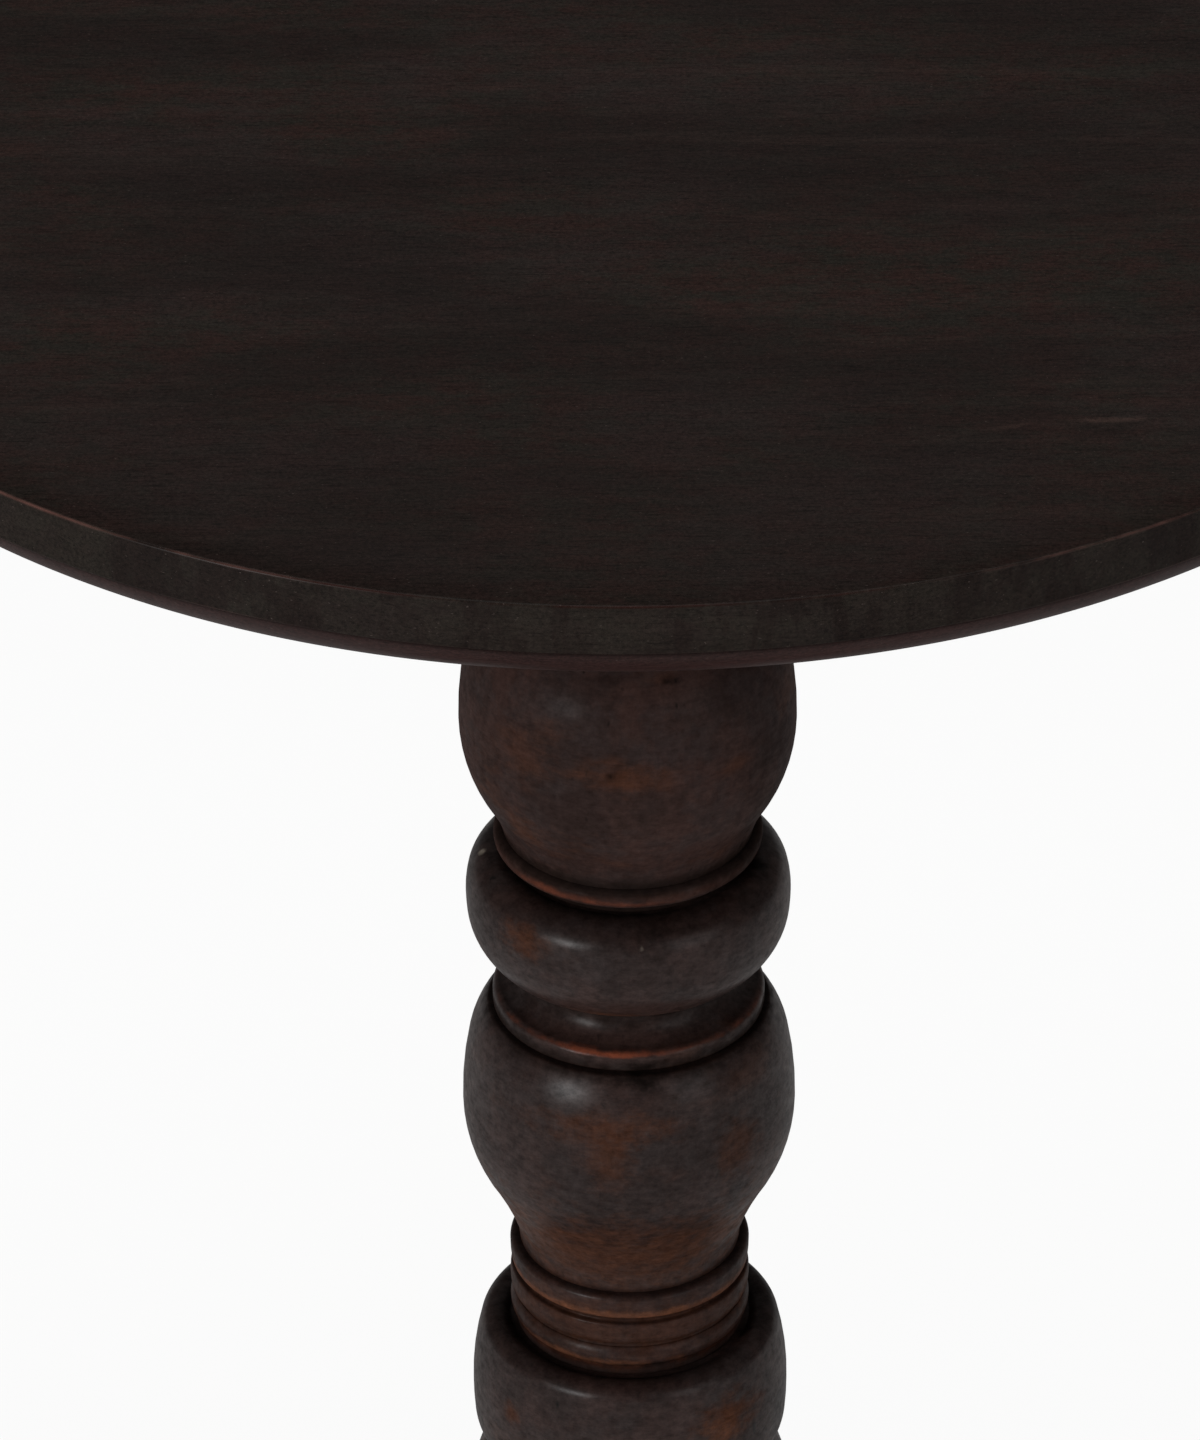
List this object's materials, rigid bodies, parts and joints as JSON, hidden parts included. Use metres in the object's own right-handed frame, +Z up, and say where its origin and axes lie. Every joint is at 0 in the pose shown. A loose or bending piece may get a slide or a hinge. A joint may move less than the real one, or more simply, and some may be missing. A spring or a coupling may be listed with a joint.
{
  "type": "pedestal accent table",
  "caption": "Round dark-wood accent table: moulded board top on a turned column of stacked balusters, with a bell-shaped foot, a round plinth and levelling glides.",
  "frame": {"origin": "on the floor, under the centre of the column", "axes": "+Z up along the column, +X along the grain of the top, -Y to the front"},
  "size_m": [0.4572, 0.4572, 0.61],
  "materials": {
    "top_wood": "satin, dark espresso stain, rubbed through at the edges",
    "column_wood": "satin, dark espresso stain, rubbed to red-brown on the swells and edges",
    "base_wood": "satin, dark espresso stain, rubbed through at the edges",
    "block_wood": "thin dark stain over sanded wood",
    "dowel_wood": "bare beech",
    "zinc_steel": "zinc plated",
    "insert_brass": "turned",
    "pad_nylon": "matte"
  },
  "bodies": {
    "table": {"top_board_1": "top_wood", "top_board_2": "top_wood", "top_board_3": "top_wood", "top_board_4": "top_wood", "top_board_5": "top_wood", "capital": "column_wood", "upper_baluster": "column_wood", "middle_baluster": "column_wood", "upper_neck_ring": "column_wood", "lower_baluster": "column_wood", "lower_neck_ring": "column_wood", "bell_foot": "column_wood", "base_board_1": "base_wood", "base_board_2": "base_wood", "base_board_3": "base_wood", "mounting_block": "block_wood", "top_dowels": "dowel_wood", "base_dowels": "dowel_wood", "block_screws": "zinc_steel", "foot_screws": "zinc_steel", "tie_rod": "zinc_steel", "upper_washer": "zinc_steel", "upper_nut": "zinc_steel", "lower_washer": "zinc_steel", "lower_nut": "zinc_steel", "glide_inserts": "insert_brass"},
    "glide_1": {"glide_stem_1": "zinc_steel", "glide_pad_1": "pad_nylon"},
    "glide_2": {"glide_stem_2": "zinc_steel", "glide_pad_2": "pad_nylon"},
    "glide_3": {"glide_stem_3": "zinc_steel", "glide_pad_3": "pad_nylon"},
    "glide_4": {"glide_stem_4": "zinc_steel", "glide_pad_4": "pad_nylon"}
  },
  "joints": [
    {"name": "glide_1_screw", "type": "slide", "parent": "table", "child": "glide_1", "axis": [0, 0, -1], "range_m": [0, 0.01]},
    {"name": "glide_2_screw", "type": "slide", "parent": "table", "child": "glide_2", "axis": [0, 0, -1], "range_m": [0, 0.01]},
    {"name": "glide_3_screw", "type": "slide", "parent": "table", "child": "glide_3", "axis": [0, 0, -1], "range_m": [0, 0.01]},
    {"name": "glide_4_screw", "type": "slide", "parent": "table", "child": "glide_4", "axis": [0, 0, -1], "range_m": [0, 0.01]}
  ]
}
